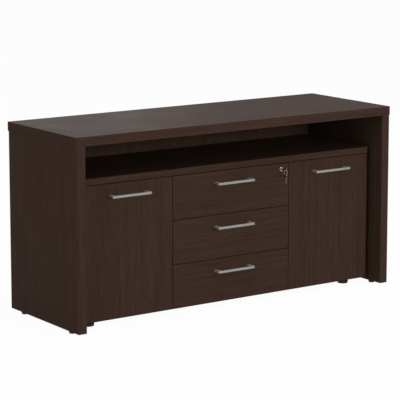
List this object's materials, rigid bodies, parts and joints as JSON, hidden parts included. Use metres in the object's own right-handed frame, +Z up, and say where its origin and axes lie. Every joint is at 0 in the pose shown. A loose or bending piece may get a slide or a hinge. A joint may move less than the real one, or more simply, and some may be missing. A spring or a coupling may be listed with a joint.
{
  "type": "minibar cabinet",
  "caption": "Low cabinet with an open niche over doors and drawers, inside a thick bridge of top and side panels.",
  "frame": {"origin": "on the floor below the middle of the top slab", "axes": "+X to the right seen from the front, +Y to the back, +Z up"},
  "size_m": [1.5, 0.512, 0.75],
  "materials": {
    "dark_laminate": "semi-matt wood-grain laminate",
    "box_board": "matt laminate",
    "dowel_wood": "raw beech",
    "satin_nickel": "satin nickel",
    "zinc_steel": "zinc plated",
    "lock_chrome": "nickel plated",
    "foot_plastic": "moulded"
  },
  "bodies": {
    "carcass": {"top_slab": "dark_laminate", "left_side_panel": "dark_laminate", "right_side_panel": "dark_laminate", "back_panel": "dark_laminate", "dowels": "dowel_wood", "assembly_screws": "zinc_steel", "panel_glides": "foot_plastic", "niche_shelf": "dark_laminate", "cabinet_floor": "dark_laminate", "cabinet_left_side": "dark_laminate", "cabinet_right_side": "dark_laminate", "left_divider": "dark_laminate", "right_divider": "dark_laminate", "inner_shelf": "dark_laminate", "shelf_pins": "zinc_steel", "cabinet_feet": "foot_plastic", "hinge_arms": "zinc_steel", "hinge_plates": "zinc_steel", "slide_outer_members": "zinc_steel", "lock_strike": "zinc_steel"},
    "left_leaf": {"left_door": "dark_laminate", "left_door_handle": "satin_nickel", "left_door_handle_screws": "zinc_steel", "left_hinge_cups": "zinc_steel", "left_hinge_pins": "zinc_steel"},
    "right_leaf": {"right_door": "dark_laminate", "right_door_handle": "satin_nickel", "right_door_handle_screws": "zinc_steel", "right_hinge_cups": "zinc_steel", "right_hinge_pins": "zinc_steel"},
    "top_drawer": {"drawer_1_front": "dark_laminate", "drawer_1_box_sides": "box_board", "drawer_1_box_ends": "box_board", "drawer_1_bottom": "box_board", "drawer_1_handle": "satin_nickel", "drawer_1_handle_screws": "zinc_steel", "drawer_1_slide_inner": "zinc_steel", "lock_body": "lock_chrome"},
    "middle_drawer": {"drawer_2_front": "dark_laminate", "drawer_2_box_sides": "box_board", "drawer_2_box_ends": "box_board", "drawer_2_bottom": "box_board", "drawer_2_handle": "satin_nickel", "drawer_2_handle_screws": "zinc_steel", "drawer_2_slide_inner": "zinc_steel"},
    "bottom_drawer": {"drawer_3_front": "dark_laminate", "drawer_3_box_sides": "box_board", "drawer_3_box_ends": "box_board", "drawer_3_bottom": "box_board", "drawer_3_handle": "satin_nickel", "drawer_3_handle_screws": "zinc_steel", "drawer_3_slide_inner": "zinc_steel"},
    "top_slides": {"drawer_1_slide_middle": "zinc_steel"},
    "middle_slides": {"drawer_2_slide_middle": "zinc_steel"},
    "bottom_slides": {"drawer_3_slide_middle": "zinc_steel"},
    "lock": {"lock_plug": "lock_chrome", "lock_cam": "lock_chrome", "lock_key": "lock_chrome"},
    "ring": {"key_ring": "lock_chrome"},
    "hanging_key": {"spare_key": "lock_chrome"}
  },
  "joints": [
    {"name": "left_door_swing", "type": "hinge", "parent": "carcass", "child": "left_leaf", "pos_m": [-0.6795, -0.1805, 0.29], "axis": [0, 0, -1], "range_deg": [0, 100]},
    {"name": "right_door_swing", "type": "hinge", "parent": "carcass", "child": "right_leaf", "pos_m": [0.6795, -0.1805, 0.29], "axis": [0, 0, 1], "range_deg": [0, 100]},
    {"name": "top_drawer_slide", "type": "slide", "parent": "carcass", "child": "top_drawer", "axis": [0, -1, 0], "range_m": [0, 0.35]},
    {"name": "top_slides_extend", "type": "slide", "parent": "carcass", "child": "top_slides", "axis": [0, -1, 0], "range_m": [0, 0.175]},
    {"name": "middle_drawer_slide", "type": "slide", "parent": "carcass", "child": "middle_drawer", "axis": [0, -1, 0], "range_m": [0, 0.35]},
    {"name": "middle_slides_extend", "type": "slide", "parent": "carcass", "child": "middle_slides", "axis": [0, -1, 0], "range_m": [0, 0.175]},
    {"name": "bottom_drawer_slide", "type": "slide", "parent": "carcass", "child": "bottom_drawer", "axis": [0, -1, 0], "range_m": [0, 0.35]},
    {"name": "bottom_slides_extend", "type": "slide", "parent": "carcass", "child": "bottom_slides", "axis": [0, -1, 0], "range_m": [0, 0.175]},
    {"name": "lock_turn", "type": "hinge", "parent": "top_drawer", "child": "lock", "pos_m": [0.24175, -0.1885, 0.5285], "axis": [0, 1, 0], "range_deg": [0, 90]},
    {"name": "ring_swing", "type": "hinge", "parent": "lock", "child": "ring", "pos_m": [0.24175, -0.2177, 0.5285], "axis": [1, 0, 0], "range_deg": [-60, 15]},
    {"name": "spare_key_swing", "type": "hinge", "parent": "ring", "child": "hanging_key", "pos_m": [0.24175, -0.2177, 0.5089], "axis": [1, 0, 0], "range_deg": [-30, 15]}
  ],
  "couplings": [
    {"joint": "top_slides_extend", "follows": "top_drawer_slide", "ratio": 0.5},
    {"joint": "middle_slides_extend", "follows": "middle_drawer_slide", "ratio": 0.5},
    {"joint": "bottom_slides_extend", "follows": "bottom_drawer_slide", "ratio": 0.5}
  ]
}
